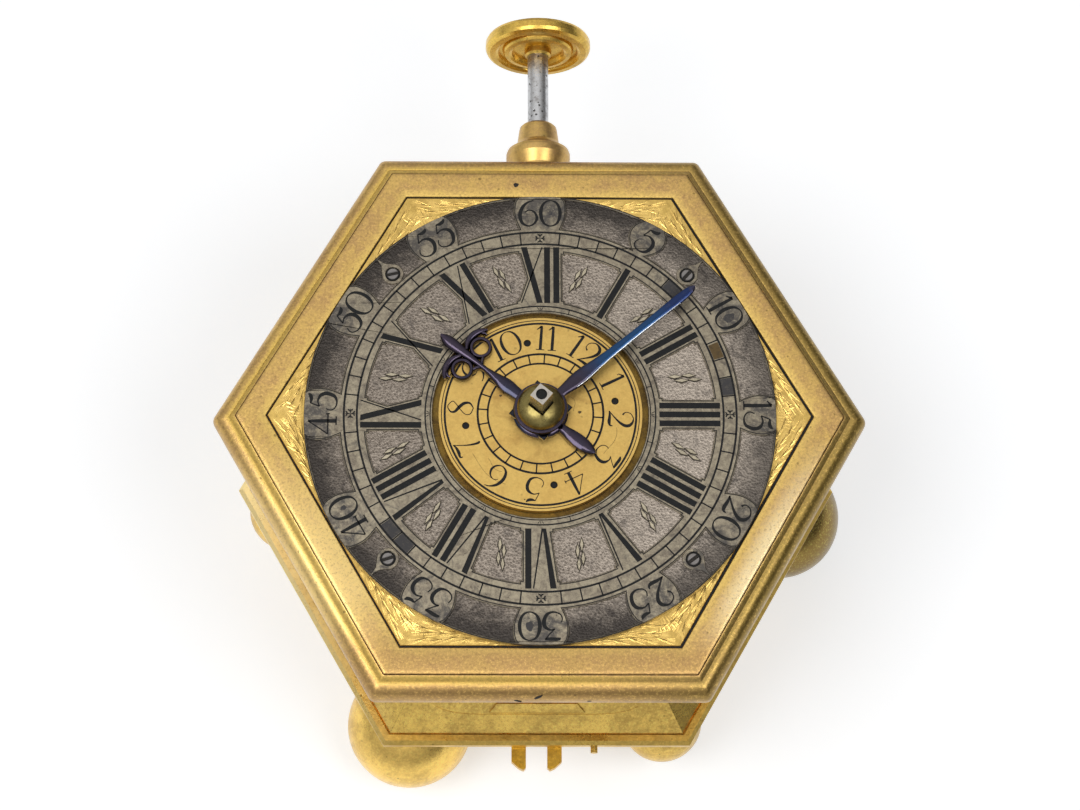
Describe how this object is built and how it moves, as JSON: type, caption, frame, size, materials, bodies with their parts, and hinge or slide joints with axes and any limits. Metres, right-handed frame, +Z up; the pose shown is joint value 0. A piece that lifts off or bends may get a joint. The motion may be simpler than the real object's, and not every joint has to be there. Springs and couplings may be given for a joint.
{
  "type": "table clock",
  "caption": "Hexagonal horizontal table clock with silvered chapter ring, alarm disc, blued hands, back plunger, glazed gilt brass case and ball feet.",
  "frame": {"origin": "on the table under the dial's centre, where the hands' axis meets the plane of the feet", "axes": "+Z up along the hands' axis, +Y towards 12 o'clock and the plunger, +X towards 3 o'clock"},
  "size_m": [0.1274, 0.1456, 0.093],
  "materials": {
    "gilt_brass": "fire-gilt brass, worn and lightly pitted",
    "brass": "filed brass",
    "silvered": "dull silvered, matted and engraved",
    "blued_steel": "polished and heat-blued steel",
    "steel": "filed steel",
    "window_glass": "flat polished glass"
  },
  "bodies": {
    "base": {"base_plate": "gilt_brass", "ball_feet": "gilt_brass", "corner_knobs": "gilt_brass", "bell": "brass", "bell_stud": "steel", "bell_nut": "steel", "base_hinge_pin": "steel", "catch_screws": "steel", "opening_nib": "gilt_brass"},
    "catch_left": {"catch_lever_left": "gilt_brass"},
    "catch_right": {"catch_lever_right": "gilt_brass"},
    "case": {"base_moulding": "gilt_brass", "case_wall": "gilt_brass", "window_frames": "gilt_brass", "window_panes": "window_glass", "catch_plate": "gilt_brass", "bezel": "gilt_brass", "plunger_boss": "gilt_brass", "plunger_cap": "brass", "dial_plate": "gilt_brass", "chapter_ring": "silvered", "chapter_ring_screws": "steel", "dial_posts": "brass", "front_plate": "brass", "back_plate": "brass", "pillars": "brass", "pillar_screws": "steel", "potence": "brass", "balance_cock": "gilt_brass", "balance_spring": "steel", "minute_stud": "steel", "click": "steel"},
    "plunger": {"plunger_rod": "steel", "plunger_button": "gilt_brass", "plunger_spring": "steel"},
    "minute": {"cannon_pinion": "steel", "minute_hand": "blued_steel", "hand_collet": "gilt_brass"},
    "motion": {"minute_wheel": "brass"},
    "hour": {"hour_wheel": "brass", "hour_hand": "blued_steel"},
    "alarm_dial": {"alarm_disc": "gilt_brass"},
    "barrel": {"mainspring_barrel": "brass", "mainspring": "steel"},
    "winding": {"barrel_arbor": "steel", "ratchet_wheel": "steel"},
    "centre": {"centre_arbor": "steel", "centre_wheel": "brass"},
    "third": {"third_arbor": "steel", "third_wheel": "brass"},
    "contrate": {"contrate_arbor": "steel", "contrate_wheel": "brass"},
    "escape": {"escape_arbor": "steel", "escape_wheel": "brass"},
    "balance": {"balance_wheel": "brass", "verge_staff": "steel"},
    "alarm_drum": {"alarm_barrel": "brass"},
    "alarm_train": {"alarm_wheel": "steel"},
    "hammer": {"alarm_hammer": "steel"}
  },
  "joints": [
    {"name": "case_hinge", "type": "hinge", "parent": "base", "child": "case", "pos_m": [0, 0.0554, 0.033], "axis": [-1, 0, 0], "range_deg": [0, 75]},
    {"name": "catch_left_pinch", "type": "hinge", "parent": "base", "child": "catch_left", "pos_m": [-0.006, -0.034, 0.029], "axis": [0, 0, 1], "range_deg": [0, 2.5], "stiffness_Nm_per_rad": 0.05},
    {"name": "catch_right_pinch", "type": "hinge", "parent": "base", "child": "catch_right", "pos_m": [0.006, -0.034, 0.029], "axis": [0, 0, 1], "range_deg": [-2.5, 0], "stiffness_Nm_per_rad": 0.05},
    {"name": "plunger_push", "type": "slide", "parent": "case", "child": "plunger", "axis": [0, -1, 0], "range_m": [0, 0.008], "stiffness_N_per_m": 120, "deforming": ["plunger_spring"]},
    {"name": "minute_hand_turn", "type": "hinge", "parent": "case", "child": "minute", "pos_m": [0, 0, 0.085], "axis": [0, 0, 1], "continuous": true},
    {"name": "minute_wheel_turn", "type": "hinge", "parent": "case", "child": "motion", "pos_m": [0.01039, 0.006, 0.073], "axis": [0, 0, 1], "continuous": true},
    {"name": "hour_hand_turn", "type": "hinge", "parent": "case", "child": "hour", "pos_m": [0, 0, 0.083], "axis": [0, 0, 1], "continuous": true},
    {"name": "alarm_disc_turn", "type": "hinge", "parent": "hour", "child": "alarm_dial", "pos_m": [0, 0, 0.081], "axis": [0, 0, 1], "continuous": true},
    {"name": "escape_wheel_turn", "type": "hinge", "parent": "case", "child": "escape", "pos_m": [0.02085, 0.00282, 0.06085], "axis": [0, 1, 0], "continuous": true},
    {"name": "contrate_wheel_turn", "type": "hinge", "parent": "case", "child": "contrate", "pos_m": [0.02085, -0.00918, 0.06], "axis": [0, 0, 1], "continuous": true},
    {"name": "third_wheel_turn", "type": "hinge", "parent": "case", "child": "third", "pos_m": [0.008, -0.01386, 0.06], "axis": [0, 0, 1], "continuous": true},
    {"name": "centre_wheel_turn", "type": "hinge", "parent": "case", "child": "centre", "pos_m": [0, 0, 0.06], "axis": [0, 0, 1], "continuous": true},
    {"name": "barrel_turn", "type": "hinge", "parent": "case", "child": "barrel", "pos_m": [-0.0216, 0, 0.06], "axis": [0, 0, 1], "continuous": true},
    {"name": "winding_turn", "type": "hinge", "parent": "case", "child": "winding", "pos_m": [-0.0216, 0, 0.045], "axis": [0, 0, 1], "continuous": true},
    {"name": "balance_swing", "type": "hinge", "parent": "case", "child": "balance", "pos_m": [0.02085, 0.01222, 0.04], "axis": [0, 0, 1], "range_deg": [-50, 50]},
    {"name": "alarm_wheel_turn", "type": "hinge", "parent": "case", "child": "alarm_train", "pos_m": [-0.0182, -0.029, 0.06], "axis": [0, 0, 1], "continuous": true},
    {"name": "alarm_barrel_turn", "type": "hinge", "parent": "case", "child": "alarm_drum", "pos_m": [-0.007, -0.029, 0.06], "axis": [0, 0, 1], "continuous": true},
    {"name": "alarm_hammer_swing", "type": "hinge", "parent": "case", "child": "hammer", "pos_m": [-0.0194, -0.022, 0.05], "axis": [0, 0, 1], "range_deg": [-10, 25]}
  ],
  "couplings": [
    {"joint": "minute_wheel_turn", "follows": "minute_hand_turn", "ratio": -0.33333},
    {"joint": "hour_hand_turn", "follows": "minute_hand_turn", "ratio": 0.083333},
    {"joint": "contrate_wheel_turn", "follows": "escape_wheel_turn", "ratio": 0.13333},
    {"joint": "third_wheel_turn", "follows": "escape_wheel_turn", "ratio": -0.016667},
    {"joint": "centre_wheel_turn", "follows": "escape_wheel_turn", "ratio": 0.0018519},
    {"joint": "barrel_turn", "follows": "escape_wheel_turn", "ratio": -0.00026455},
    {"joint": "alarm_wheel_turn", "follows": "alarm_barrel_turn", "ratio": -6}
  ]
}
